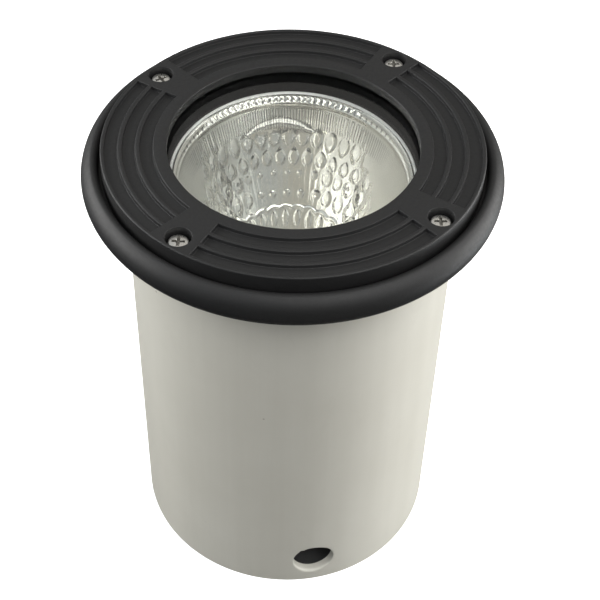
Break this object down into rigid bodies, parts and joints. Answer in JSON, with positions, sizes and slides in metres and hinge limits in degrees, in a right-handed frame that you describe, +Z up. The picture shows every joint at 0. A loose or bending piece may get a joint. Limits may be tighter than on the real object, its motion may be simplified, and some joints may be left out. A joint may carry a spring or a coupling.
{
  "type": "in ground well light",
  "caption": "Recessed well light in a pale burial sleeve: black ring cover with clear glass over a tilting, turning reflector lamp in a lift-out can.",
  "frame": {"origin": "centre of the sleeve's bottom end", "axes": "+Z up along the sleeve; the cover screws are on the diagonals; the sleeve's cable hole faces very nearly -Y; the lamp tilts about X"},
  "size_m": [0.2, 0.2, 0.2481],
  "materials": {
    "pvc": "satin",
    "black_casting": "matte",
    "silicone": "satin",
    "black_nylon": "satin",
    "brass": "satin",
    "zinc_steel": "satin",
    "stainless": "satin",
    "green_earth": "satin",
    "porcelain": "gloss",
    "clear_glass": "gloss",
    "lamp_glass": "gloss",
    "mirrored_glass": "polished",
    "quartz": "gloss",
    "black_glass": "gloss",
    "lead_sleeving": "matte"
  },
  "bodies": {
    "sleeve": {"sleeve": "pvc"},
    "housing": {"housing": "black_casting", "threaded_inserts": "brass", "body_gasket": "silicone", "gland_body": "black_nylon", "gland_washer": "silicone", "gland_seal": "silicone", "gland_cap": "black_nylon", "turn_bush": "black_nylon", "turn_washer": "zinc_steel", "turn_locknut": "black_nylon"},
    "cover": {"cover_ring": "black_casting", "cover_screws": "stainless", "screw_seals": "silicone", "lens_gasket": "silicone", "glass_lens": "clear_glass"},
    "yoke": {"yoke": "zinc_steel", "terminal_block": "porcelain", "terminal_screws": "brass", "block_screws": "zinc_steel", "ground_screw": "green_earth", "lamp_leads": "lead_sleeving"},
    "lamp_head": {"lamp_carrier": "black_casting", "tilt_screws": "stainless", "tilt_washers": "zinc_steel", "tilt_nuts": "zinc_steel", "holder_bracket": "zinc_steel", "bracket_screws": "zinc_steel", "lampholder": "porcelain", "holder_screws": "zinc_steel", "holder_shell": "brass", "holder_contact": "brass", "lamp_reflector": "mirrored_glass", "lamp_lens": "lamp_glass", "lamp_burner": "quartz", "burner_posts": "stainless", "lamp_ferrule": "stainless", "lamp_base_shell": "brass", "base_insulator": "black_glass", "base_contact": "zinc_steel"}
  },
  "joints": [
    {"name": "housing_lift", "type": "slide", "parent": "sleeve", "child": "housing", "axis": [0, 0, 1], "range_m": [0, 0.2]},
    {"name": "cover_lift", "type": "slide", "parent": "housing", "child": "cover", "axis": [0, 0, 1], "range_m": [0, 0.06]},
    {"name": "yoke_turn", "type": "hinge", "parent": "housing", "child": "yoke", "pos_m": [0, 0, 0.073], "axis": [0, 0, 1], "range_deg": [-175, 175]},
    {"name": "lamp_tilt", "type": "hinge", "parent": "yoke", "child": "lamp_head", "pos_m": [0, 0, 0.20406], "axis": [1, 0, 0], "range_deg": [-11.3, 2.7], "deforming": ["lamp_leads"]}
  ]
}
